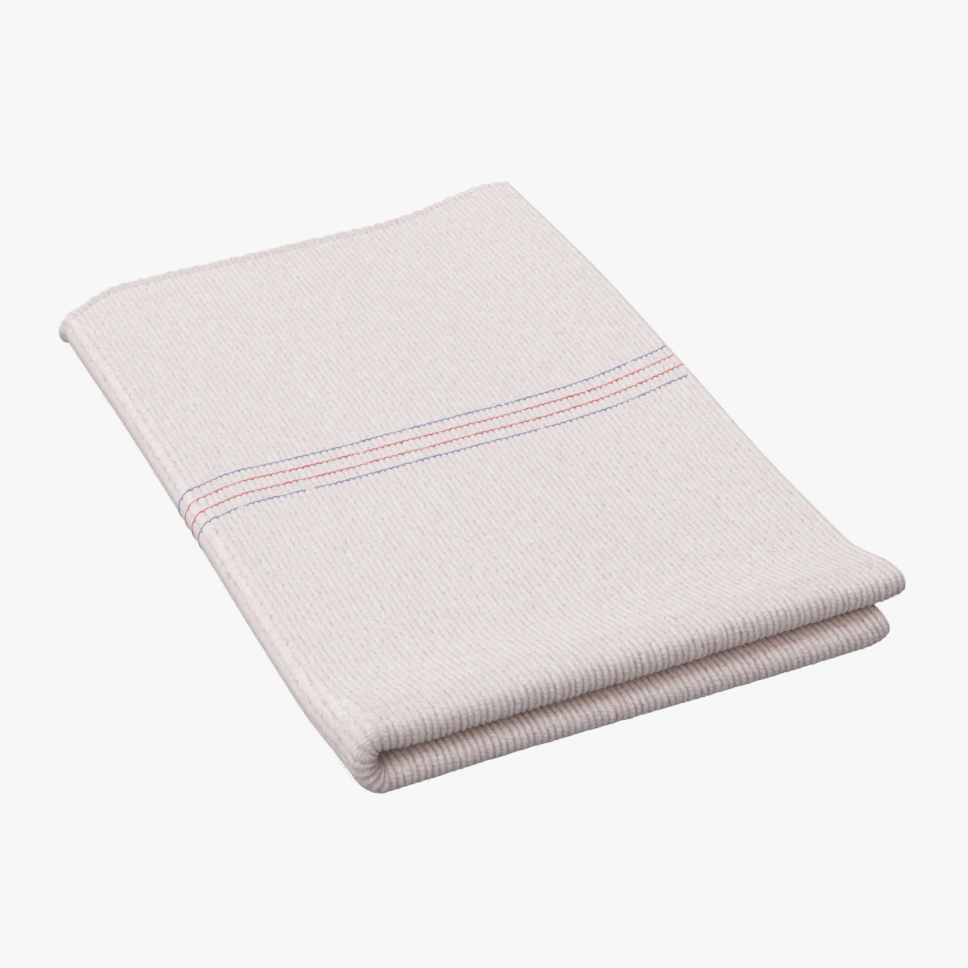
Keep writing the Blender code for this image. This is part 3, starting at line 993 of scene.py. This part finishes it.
def on_outer_face(sheet, columns, runs, level):
    """Points of a thread on the outer layer, pressed in where the cloth lies on the surface."""
    pressed = -sheet.inner_lift(columns, pi / 2, runs) - PRESSED_IN
    level = np.where(columns < -FOLD_REACH, np.minimum(level, pressed), level)
    points = sheet.point(columns, pi / 2, runs, level)
    points[:, 2] = np.maximum(points[:, 2], PRESSED_IN)
    return points


def thread_line(sheet, run, hook, number):
    """The way of one thread: straight over each rib, with a hook to the front in each furrow.

    Now and then it is lost in the cloth.
    """
    start, end = THREAD_ENDS
    columns = np.arange(start - sheet.bottom, sheet.top - end, THREAD_STEP)
    furrow = (1 - np.abs(np.sin(pi * columns / 2))) ** 4
    drift = sum(waver.at(columns, number) for waver in THREAD_DRIFTS)
    drift -= THREAD_PULL * np.exp(-((columns * sheet.half_rib / PULL_REACH) ** 2))
    drift += THREAD_RISE * ease((columns / sheet.top - RISE_FROM) / (1 - RISE_FROM))
    runs = run + drift - hook * furrow * (HOOK_SHARE + HOOK_SIZES.at(columns, number))
    lost = ease((THREAD_LOST.at(columns, number) - LOST_FROM) / LOST_RISE)
    crests = 2 * np.floor(columns / 2) + 1
    level = sheet.outer_lift(crests, pi / 2, runs) - HOOK_DIP * furrow - LOST_DEPTH * lost
    return on_outer_face(sheet, columns, runs, level + THREAD_LEVELS.at(columns, number))


def seam_line(sheet):
    """The way of the thread that sews the hem, which dips into the cloth between its stitches."""
    start, end = STITCH_ENDS
    columns = np.arange(start - sheet.bottom, sheet.top - end, STITCH_STEP)
    dip = 1 - np.abs(np.sin(pi * (columns * sheet.half_rib / STITCH_PITCH))) ** 0.5
    runs = sheet.run_length - STITCH_REACH + STITCH_DRIFT.at(columns)
    level = sheet.outer_lift(columns, pi / 2, runs) + STITCH_RISE - STITCH_DIP * dip
    return on_outer_face(sheet, columns, runs, level)


def skin_mesh(sheet, patches):
    """Outer faces that are open to the air. Each patch is (columns, rows), each row (angle, run)."""
    points, faces, count = [], [], 0
    for columns, rows in patches:
        for angle, run in rows:
            points.append(sheet.point(columns, angle, run, sheet.outer_lift(columns, angle, run)))
        wide = len(columns)
        for start in range(count, count + wide * (len(rows) - 1), wide):
            for corner in range(start, start + wide - 1):
                faces.append((corner, corner + 1, corner + wide + 1, corner + wide))
        count += wide * len(rows)
    return new_mesh("skin", np.concatenate(points).tolist(), faces=faces)


class CLOTH_OT_sheet(bpy.types.Operator):
    """Lays the ribbed sheet in its four layers"""

    bl_idname = "cloth.lay_sheet"
    bl_label = "Lay the sheet"

    def execute(self, context):
        sizes = context.scene.cloth_sizes
        mesh = sheet_mesh(FoldedSheet(sizes))
        weld(mesh)
        piece = show(mesh, "ribbed_cloth", CottonRecipe(sizes).make())
        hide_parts(NODE)
        return {"FINISHED"}


class CLOTH_OT_threads(bpy.types.Operator):
    """Weaves in the blue and the red threads"""

    bl_idname = "cloth.weave_threads"
    bl_label = "Weave the threads"

    def execute(self, context):
        sizes = context.scene.thread_sizes
        sheet = FoldedSheet(context.scene.cloth_sizes)
        tree = yarn_tree()
        for colour in ("blue", "red"):
            lines = [
                thread_line(sheet, run, sizes.hook, number)
                for number, (run, name) in enumerate(THREADS)
                if name == colour
            ]
            source = line_mesh(f"{colour}_lines", lines)
            material = thread_material(f"{colour}_thread", getattr(sizes, colour))
            values = {"Yarn Width": sizes.width, "Unevenness": 0.35, "Material": material}
            show(grown(source, tree, values), f"{colour}_threads", material)
        return {"FINISHED"}


class CLOTH_OT_seams(bpy.types.Operator):
    """Sews the hem of the outer layer"""

    bl_idname = "cloth.sew_hem"
    bl_label = "Sew the hem"

    def execute(self, context):
        sizes = context.scene.thread_sizes
        source = line_mesh("seam_lines", [seam_line(FoldedSheet(context.scene.cloth_sizes))])
        material = thread_material("sewing_thread", sizes.stitch)
        values = {"Yarn Width": sizes.stitch_width, "Unevenness": 0.15, "Material": material}
        show(grown(source, yarn_tree(), values), "hem_stitches", material)
        return {"FINISHED"}


class CLOTH_OT_nap(bpy.types.Operator):
    """Raises the nap of loose fibres"""

    bl_idname = "cloth.raise_nap"
    bl_label = "Raise the nap"

    def execute(self, context):
        sizes = context.scene.nap_sizes
        sheet = FoldedSheet(context.scene.cloth_sizes)
        upper = np.arange(-NAP_REACH, sheet.top)
        lower = np.arange(1 - sheet.bottom, 1 - NAP_REACH)
        upper_roll = [(angle, 0.0) for angle in np.linspace(ROLL_NAP[0], pi / 2, ROLL_STEPS)]
        upper_roll += [(pi / 2, run) for run in np.linspace(0, BENT_REACH, ROLL_STEPS)[1:]]
        lower_roll = [(angle, 0.0) for angle in np.linspace(*ROLL_NAP, ROLL_STEPS)]
        behind = [(pi / 2, run) for run in np.linspace(BENT_REACH, sheet.run_length, SKIN_ROWS)]
        tree, material = nap_tree(), fibre_material(sizes.colour)
        for name, count, patches in (
            ("nap", sizes.fibres, [(upper, behind)]),
            ("roll_nap", sizes.roll_fibres, [(upper, upper_roll), (lower, lower_roll)]),
        ):
            skin = skin_mesh(sheet, patches)
            values = {
                "Density": count / sum(face.area for face in skin.polygons),
                "Fibre Length": sizes.length,
                "Fibre Width": sizes.width,
                "Material": material,
            }
            show(grown(skin, tree, values), name, material)
        return {"FINISHED"}


def add_floor(sizes):
    corners = [(x * FLOOR_REACH, y * FLOOR_REACH, 0) for x, y in ((-1, -1), (1, -1), (1, 1), (-1, 1))]
    floor = add_object("floor", new_mesh("floor", corners, faces=[(0, 1, 2, 3)]))
    floor.location.z = -FLOOR_DROP
    floor.visible_diffuse = False  # the cloth is lit from above only
    look = {
        "Base Color": FLOOR_GREY,
        "Roughness": 1.0,
        "Specular IOR Level": 0.0,
        "Emission Color": sizes.floor,
        "Emission Strength": 1.0,
    }
    floor.data.materials.append(Recipe("floor").finish(look))


def studio_world(sizes):
    """A soft sky, warmer near the horizon, with more light from one side."""
    world = bpy.data.worlds.new("studio")
    world.use_nodes = True
    nodes = Nodes(world.node_tree)
    way = nodes.add("ShaderNodeTexCoord").outputs["Generated"]
    height = nodes.parts(way)["Z"]
    inputs = {0: way, 1: sizes.side_way}
    sideways = nodes.add("ShaderNodeVectorMath", inputs, operation="DOT_PRODUCT").outputs["Value"]
    rise = nodes.span(height, *HORIZON, sizes.below, sizes.sky)
    strength = nodes.math("MULTIPLY_ADD", nodes.math("MAXIMUM", sideways, 0.0), sizes.side, rise)
    tint = nodes.mix(nodes.span(height, 0.0, TINTED_TO), sizes.low_tint, (1.0, 1.0, 1.0))
    nodes.feed(world.node_tree.nodes["Background"], {"Strength": strength, "Color": tint})
    return world


def add_lamp(sizes):
    lamp = bpy.data.lights.new("key", "AREA")
    lamp.shape = "DISK"
    lamp.size = sizes.key_width
    lamp.energy = sizes.key
    key = add_object("key", lamp)
    key.location = sizes.key_place
    key.rotation_euler = (-Vector(key.location)).to_track_quat("-Z", "Y").to_euler()


def add_camera(sizes):
    lens = bpy.data.cameras.new("camera")
    lens.lens = sizes.lens
    lens.sensor_width = 36.0
    camera = add_object("camera", lens)
    azimuth, elevation = sizes.view
    camera.location = sizes.camera
    camera.rotation_euler = (pi / 2 - elevation, 0.0, -azimuth)
    bpy.context.scene.camera = camera


class CLOTH_OT_stage(bpy.types.Operator):
    """Sets the floor, the light and the camera"""

    bl_idname = "cloth.set_stage"
    bl_label = "Set the stage"

    def execute(self, context):
        sizes = context.scene.stage_sizes
        add_floor(sizes)
        add_lamp(sizes)
        add_camera(sizes)
        context.scene.world = studio_world(sizes)
        context.scene.view_settings.view_transform = "Standard"
        return {"FINISHED"}


class CLOTH_PT_panel(bpy.types.Panel):
    """Steps that make the folded cloth"""

    bl_label = "Folded cleaning cloth"
    bl_idname = "CLOTH_PT_panel"
    bl_space_type = "VIEW_3D"
    bl_region_type = "UI"
    bl_category = "Cloth"

    def draw(self, context):
        for operator in OPERATORS:
            self.layout.operator(operator.bl_idname)


OPERATORS = (CLOTH_OT_sheet, CLOTH_OT_threads, CLOTH_OT_seams, CLOTH_OT_nap, CLOTH_OT_stage)
GROUPS = {
    "cloth_sizes": ClothSizes,
    "thread_sizes": ThreadSizes,
    "nap_sizes": NapSizes,
    "stage_sizes": StageSizes,
}


def register():
    for cls in (*GROUPS.values(), *OPERATORS, CLOTH_PT_panel):
        bpy.utils.register_class(cls)
    for name, group in GROUPS.items():
        setattr(bpy.types.Scene, name, PointerProperty(type=group))


def unregister():
    for name in GROUPS:
        delattr(bpy.types.Scene, name)
    for cls in (CLOTH_PT_panel, *reversed(OPERATORS), *reversed(GROUPS.values())):
        bpy.utils.unregister_class(cls)


def main():
    register()
    bpy.ops.cloth.lay_sheet()
    bpy.ops.cloth.weave_threads()
    bpy.ops.cloth.sew_hem()
    bpy.ops.cloth.raise_nap()
    bpy.ops.cloth.set_stage()


if __name__ == "__main__":
    main()
